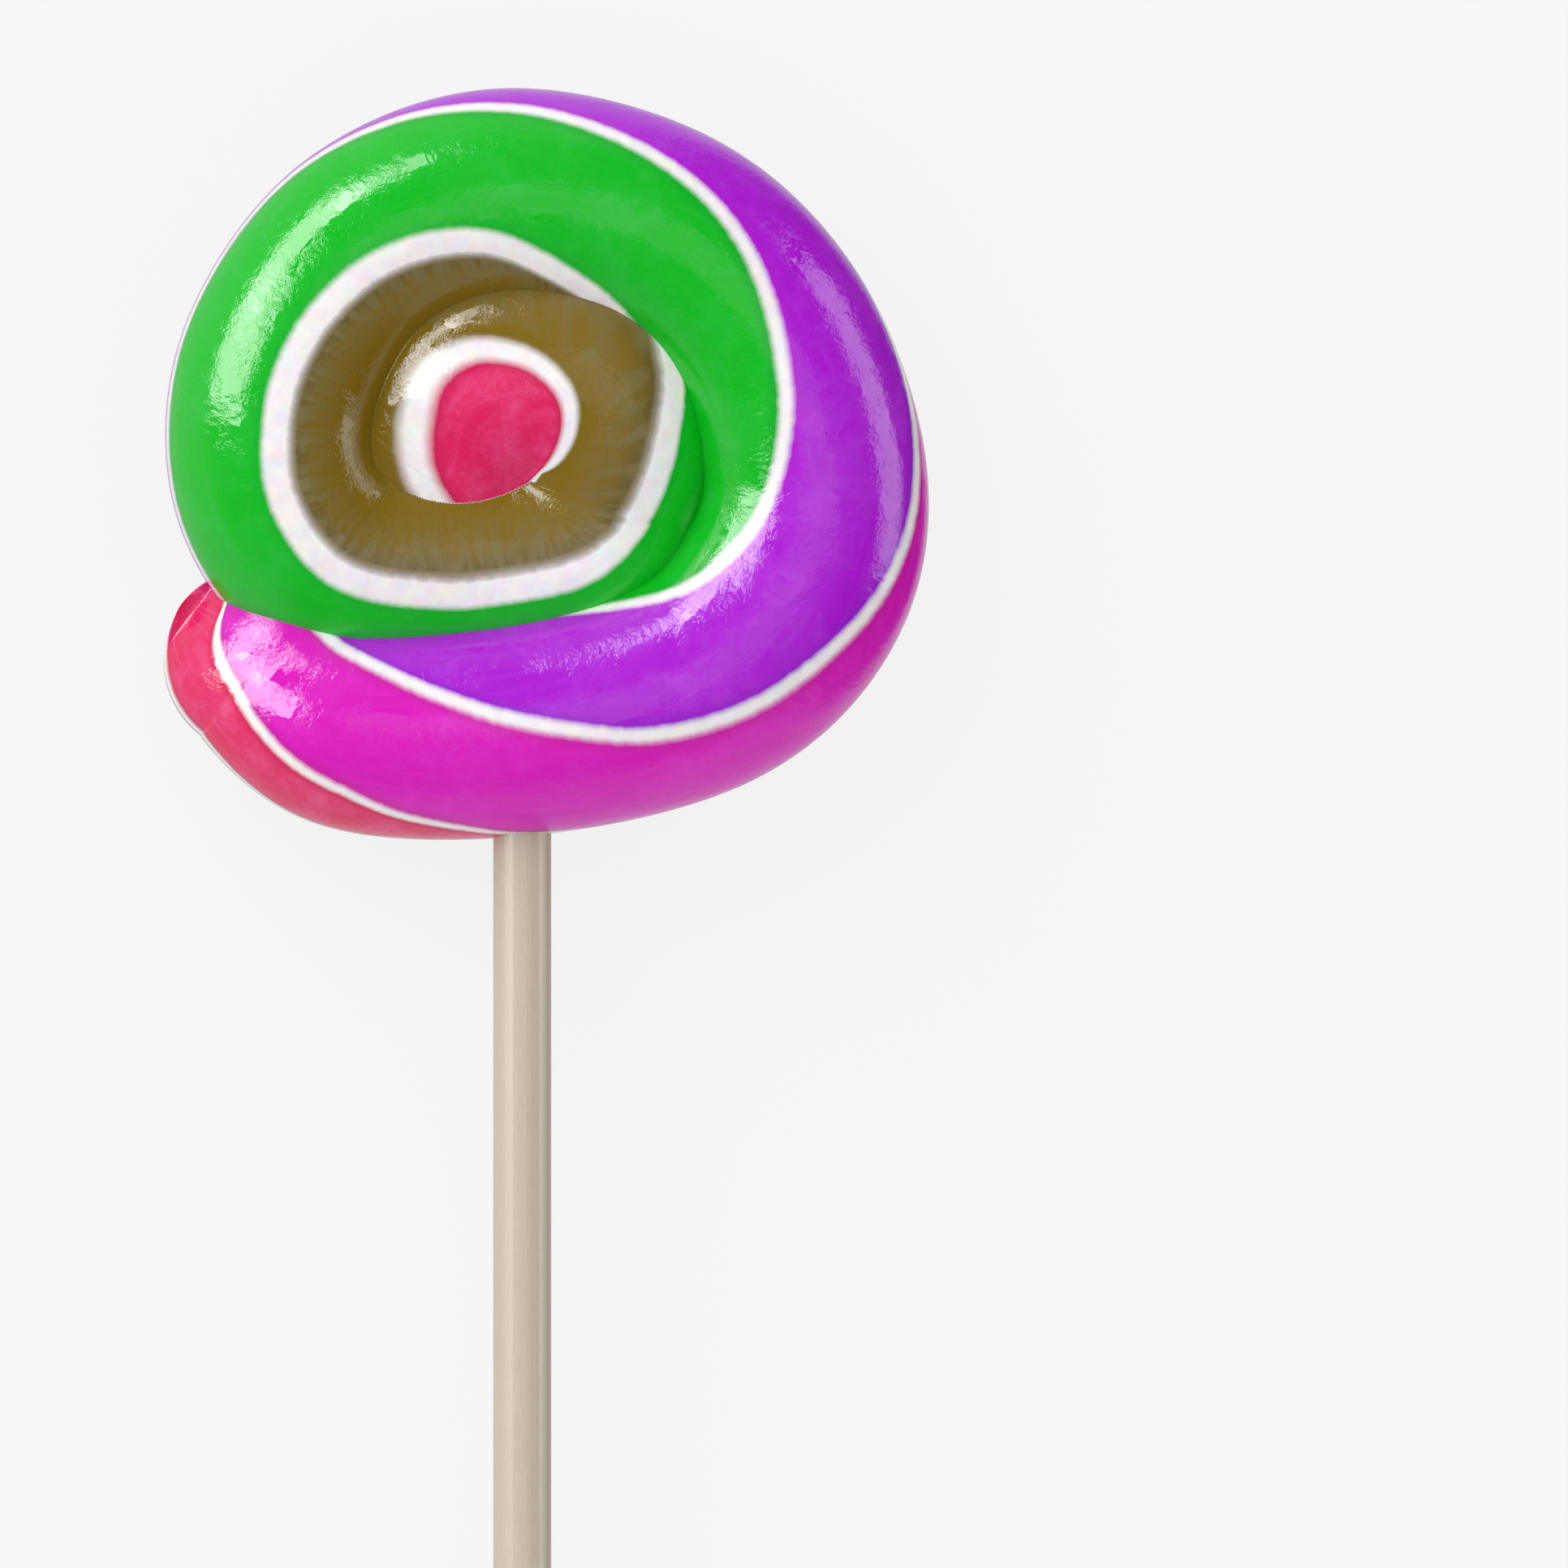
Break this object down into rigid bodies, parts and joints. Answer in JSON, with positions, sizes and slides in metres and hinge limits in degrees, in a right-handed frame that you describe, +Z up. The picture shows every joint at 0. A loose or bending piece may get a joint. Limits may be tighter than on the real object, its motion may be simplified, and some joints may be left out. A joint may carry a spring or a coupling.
{
  "type": "lollipop",
  "caption": "Large boiled-sugar lollipop: a fat striped candy rope coiled into a disc on a round paper stick, lying on its back.",
  "frame": {"origin": "on the surface it lies on, below the middle of the whole lollipop's box", "axes": "+Y from the stick's free end towards the candy coil, +Z up out of the coil's shown front, +X to the right as the front is looked at"},
  "size_m": [0.0595, 0.1824, 0.0184],
  "materials": {
    "candy": "glossy boiled sugar, five coloured stripes parted by white lines",
    "paper": "matte rolled paper"
  },
  "bodies": {
    "root": {"candy_head": "candy", "stick": "paper"}
  },
  "joints": []
}
